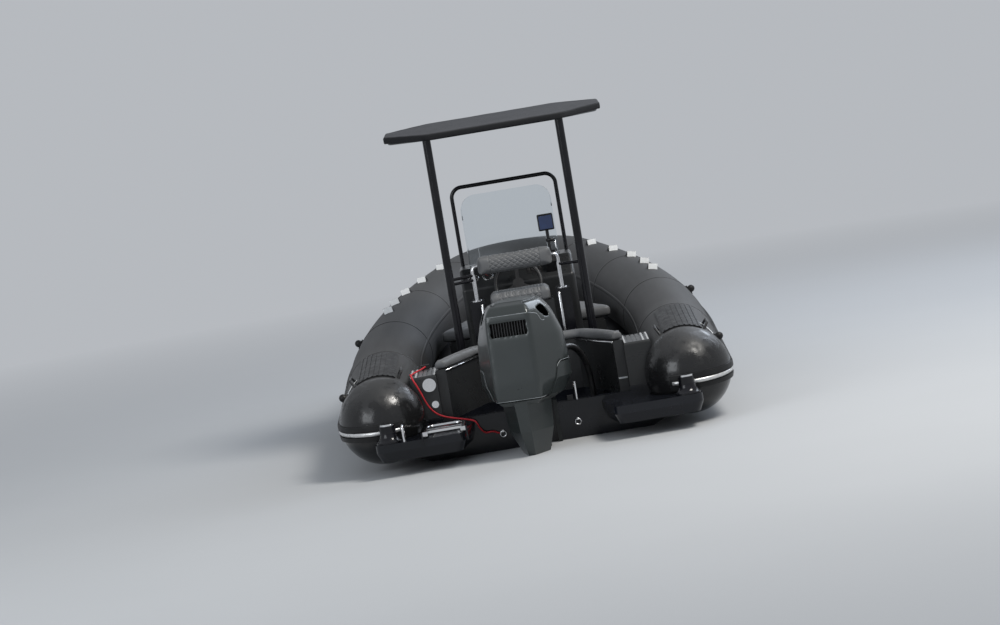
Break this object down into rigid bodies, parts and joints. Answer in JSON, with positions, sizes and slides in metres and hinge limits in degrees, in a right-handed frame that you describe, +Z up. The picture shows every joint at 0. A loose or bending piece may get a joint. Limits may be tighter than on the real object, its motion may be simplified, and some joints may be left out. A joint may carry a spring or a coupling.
{
  "type": "inflatable RIB boat",
  "caption": "Rigid-hulled inflatable boat with a helm seat, console, T-top, stern platforms and a tilting, steering outboard engine.",
  "frame": {"origin": "on the centreline at the waterline, in the plane of the transom's aft face", "axes": "+X to starboard, +Y forward, +Z up"},
  "size_m": [2.782, 7.0239, 3.055],
  "materials": {
    "tube_fabric": "matte coated fabric",
    "cone_rubber": "smooth",
    "strake_rubber": "smooth",
    "tread_rubber": "ribbed",
    "black_plastic": "satin",
    "reflective": "reflective",
    "hull_gelcoat": "gloss",
    "moulding": "satin",
    "deck_tread": "non-slip",
    "black_metal": "gloss",
    "grey_vinyl": "satin",
    "stainless": "polished",
    "canvas": "woven",
    "clear_acrylic": "clear",
    "wheel_black": "grained",
    "engine_casting": "satin",
    "cowl_paint": "satin",
    "hose_black": "matte",
    "rope_red": "braided"
  },
  "bodies": {
    "hull": {"aft_bench": "moulding", "aft_bench_cushion": "grey_vinyl", "aft_bolster": "grey_vinyl", "backrest": "grey_vinyl", "backrest_bars": "stainless", "bow_cleat": "stainless", "bow_eye": "stainless", "bow_locker": "moulding", "canopy": "canvas", "clamp_bracket": "engine_casting", "console": "moulding", "console_rail": "black_metal", "deck": "deck_tread", "display": "black_plastic", "front_seat": "moulding", "front_seat_back": "grey_vinyl", "front_seat_cushion": "grey_vinyl", "hull": "hull_gelcoat", "leg_braces": "stainless", "pad_handles": "black_plastic", "platform_grab": "stainless", "platform_port": "hull_gelcoat", "platform_posts": "black_metal", "platform_starboard": "hull_gelcoat", "quarter_blocks": "moulding", "red_rope": "rope_red", "reflective_patches": "reflective", "rigging_hose": "hose_black", "roof_frame": "black_metal", "rub_strake": "strake_rubber", "seat_base": "moulding", "seat_columns": "black_metal", "seat_cushion": "grey_vinyl", "step_pads": "tread_rubber", "stern_bulkhead": "moulding", "stern_cones": "cone_rubber", "stern_fittings": "stainless", "throttle": "black_plastic", "top_legs": "black_metal", "transom_eyes": "stainless", "tube_bow": "tube_fabric", "tube_knobs": "strake_rubber", "tube_port": "tube_fabric", "tube_starboard": "tube_fabric", "well_fittings": "black_plastic", "wheel_bezel": "black_plastic", "windshield": "clear_acrylic"},
    "swivel": {"swivel_bracket": "engine_casting"},
    "engine": {"midsection": "engine_casting", "gearcase": "engine_casting", "lower_cowl": "cowl_paint", "upper_cowl": "cowl_paint", "powerhead": "engine_casting", "hose_gland": "black_plastic"},
    "propeller": {"propeller": "stainless"},
    "helm_wheel": {"helm_wheel": "wheel_black"},
    "ladder": {"boarding_ladder": "stainless"},
    "locker_lid": {"locker_lid": "moulding", "bow_cushion": "grey_vinyl"}
  },
  "joints": [
    {"name": "engine_tilt", "type": "hinge", "parent": "hull", "child": "swivel", "pos_m": [0, -0.05, 0.3], "axis": [-1, 0, 0], "range_deg": [-4, 60], "deforming": ["rigging_hose"]},
    {"name": "engine_steer", "type": "hinge", "parent": "swivel", "child": "engine", "pos_m": [0, -0.195, 0], "axis": [0, 0, 1], "range_deg": [-17.5, 42.5]},
    {"name": "propeller_spin", "type": "hinge", "parent": "engine", "child": "propeller", "pos_m": [-0.06991, -0.51034, -0.615], "axis": [0.2164, 0.9763, 0], "continuous": true},
    {"name": "helm_turn", "type": "hinge", "parent": "hull", "child": "helm_wheel", "pos_m": [0, 1.83, 1], "axis": [0, 0.9063, -0.4226], "range_deg": [-525, 1275]},
    {"name": "ladder_swing", "type": "hinge", "parent": "hull", "child": "ladder", "pos_m": [-0.65, -0.59, 0.264], "axis": [1, 0, 0], "range_deg": [0, 258]},
    {"name": "locker_lid_swing", "type": "hinge", "parent": "hull", "child": "locker_lid", "pos_m": [0, 3.8, 0.53], "axis": [-1, 0, 0], "range_deg": [0, 80]}
  ],
  "couplings": [
    {"joint": "helm_turn", "follows": "engine_steer", "ratio": 30}
  ]
}
